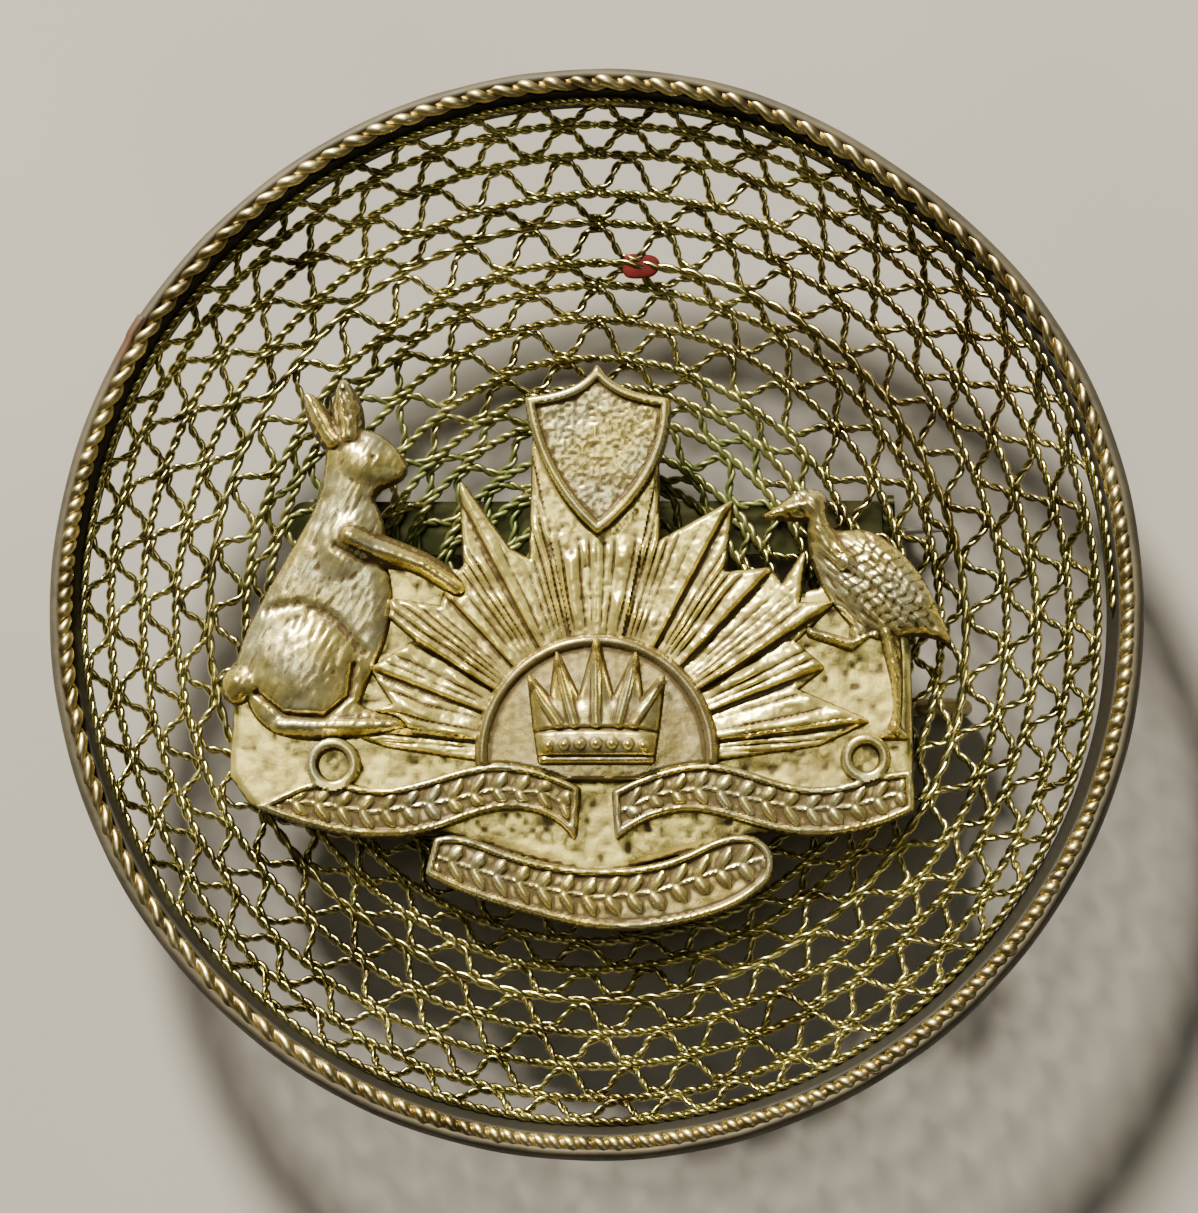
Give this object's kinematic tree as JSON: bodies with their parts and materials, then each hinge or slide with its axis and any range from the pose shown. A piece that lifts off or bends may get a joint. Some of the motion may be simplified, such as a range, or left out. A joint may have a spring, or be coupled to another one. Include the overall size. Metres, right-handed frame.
{
  "type": "wirework brooch badge",
  "caption": "Struck sunburst emblem on a round dish of twisted wirework with a bound rim, pinned on from behind, with a brooch pin and safety catch.",
  "frame": {"origin": "on the dish's axis, level with the lowest point of the back fittings", "axes": "+Z is the way the badge's face looks, +Y is the emblem's top, +X is the viewer's right"},
  "size_m": [0.048, 0.048, 0.0104],
  "materials": {
    "emblem": "worn gilt with brown in the hollows",
    "spiral_wire": "tarnished, green near the emblem",
    "crimped_wire": "tarnished",
    "rim_wire": "worn bright on the crests",
    "rim_strip": "dull brown",
    "lug_wire": "tarnished",
    "pin_wire": "drawn wire",
    "fittings": "tarnished sheet",
    "brooch_steel": "drawn, slightly dull"
  },
  "bodies": {
    "badge": {"back_bar": "fittings", "backing_plate": "emblem", "catch_base": "fittings", "centre_boss": "emblem", "coronet": "emblem", "crimp_row_01": "crimped_wire", "crimp_row_02": "crimped_wire", "crimp_row_03": "crimped_wire", "crimp_row_04": "crimped_wire", "crimp_row_05": "crimped_wire", "crimp_row_06": "crimped_wire", "crimp_row_07": "crimped_wire", "crimp_row_08": "crimped_wire", "crimp_row_09": "crimped_wire", "crimp_row_10": "crimped_wire", "crimp_row_11": "crimped_wire", "crimp_row_12": "crimped_wire", "crimp_row_13": "crimped_wire", "crimp_row_14": "crimped_wire", "crimp_row_15": "crimped_wire", "hinge_bracket": "fittings", "hinge_rivet": "brooch_steel", "left_scroll": "emblem", "left_supporter": "emblem", "lower_scroll": "emblem", "lug_left": "lug_wire", "lug_right": "lug_wire", "right_scroll": "emblem", "right_supporter": "emblem", "rim_channel": "rim_strip", "rim_rope": "rim_wire", "shield": "emblem", "sunburst": "emblem", "wire_turn_01": "spiral_wire", "wire_turn_02": "spiral_wire", "wire_turn_03": "spiral_wire", "wire_turn_04": "spiral_wire", "wire_turn_05": "spiral_wire", "wire_turn_06": "spiral_wire", "wire_turn_07": "spiral_wire", "wire_turn_08": "spiral_wire", "wire_turn_09": "spiral_wire", "wire_turn_10": "spiral_wire", "wire_turn_11": "spiral_wire", "wire_turn_12": "spiral_wire", "wire_turn_13": "spiral_wire", "wire_turn_14": "spiral_wire", "wire_turn_15": "spiral_wire", "wire_turn_16": "spiral_wire"},
    "pin": {"brooch_pin": "brooch_steel"},
    "catch": {"catch_rotor": "fittings"},
    "split": {"split_pin": "pin_wire"}
  },
  "joints": [
    {"name": "brooch_pin_hinge", "type": "hinge", "parent": "badge", "child": "pin", "pos_m": [-0.0125, 0.0042, 0.00125], "axis": [0, 1, 0], "range_deg": [0, 100]},
    {"name": "catch_turn", "type": "hinge", "parent": "badge", "child": "catch", "pos_m": [0.012, 0.0042, 0.00125], "axis": [-1, 0, 0], "range_deg": [0, 100]},
    {"name": "split_pin_slide", "type": "slide", "parent": "badge", "child": "split", "axis": [1, 0, 0], "range_m": [0, 0.0265]}
  ]
}
